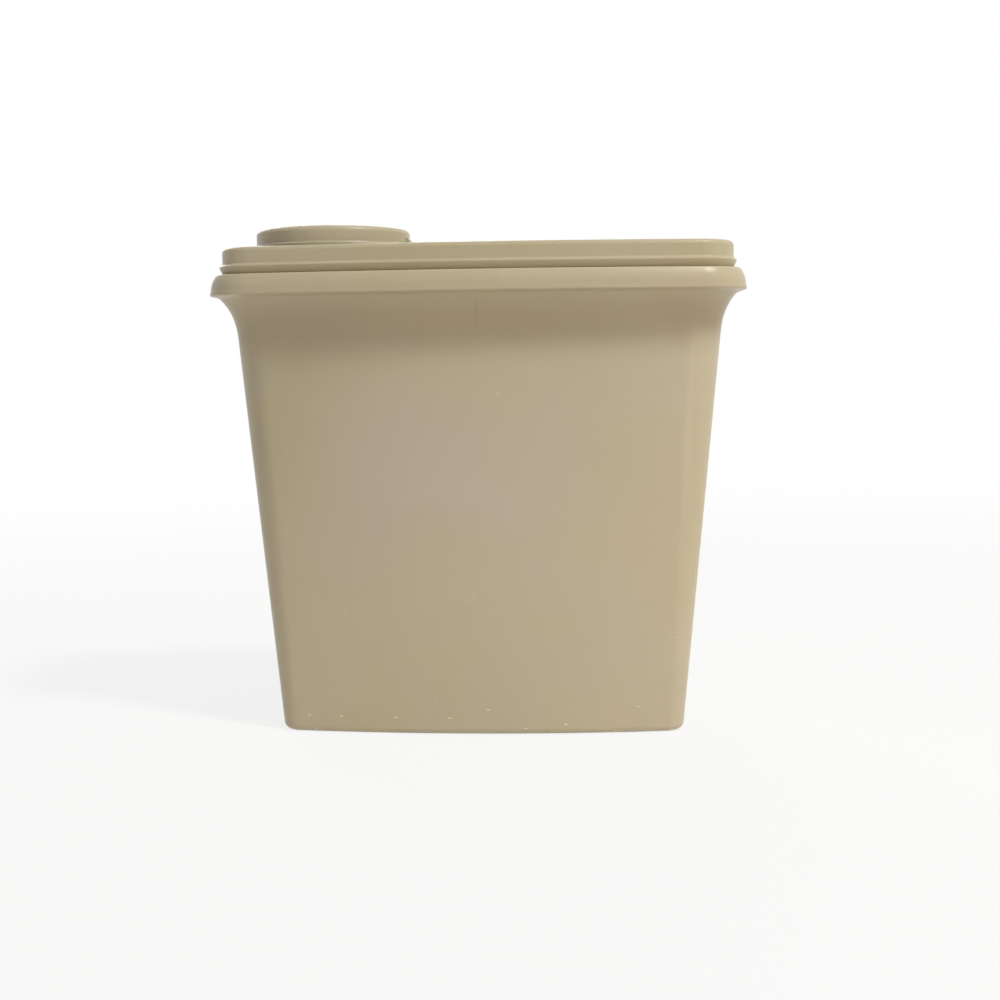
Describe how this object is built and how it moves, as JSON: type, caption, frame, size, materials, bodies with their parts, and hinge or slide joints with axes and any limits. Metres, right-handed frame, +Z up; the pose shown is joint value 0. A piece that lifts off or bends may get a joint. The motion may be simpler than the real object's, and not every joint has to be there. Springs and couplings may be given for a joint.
{
  "type": "cereal container",
  "caption": "Tall tapered plastic keeper with bowed faces, a flared rim, a press-on lid and a round flip cap over a pouring neck.",
  "frame": {"origin": "middle of the base, on the surface that the container stands on", "axes": "+X along the width with the flip cap toward -X, +Y along the depth, +Z up"},
  "size_m": [0.24, 0.106, 0.2292],
  "materials": {
    "container_plastic": "satin",
    "lid_plastic": "satin",
    "cap_plastic": "satin"
  },
  "bodies": {
    "container": {"container": "container_plastic"},
    "lid": {"lid": "lid_plastic"},
    "cap": {"flip_cap": "cap_plastic"}
  },
  "joints": [
    {"name": "lid_lift", "type": "slide", "parent": "container", "child": "lid", "axis": [0, 0, 1], "range_m": [0, 0.06]},
    {"name": "cap_flip", "type": "hinge", "parent": "lid", "child": "cap", "pos_m": [-0.02801, 0, 0.2174], "axis": [0, 1, 0], "range_deg": [0, 120]}
  ]
}
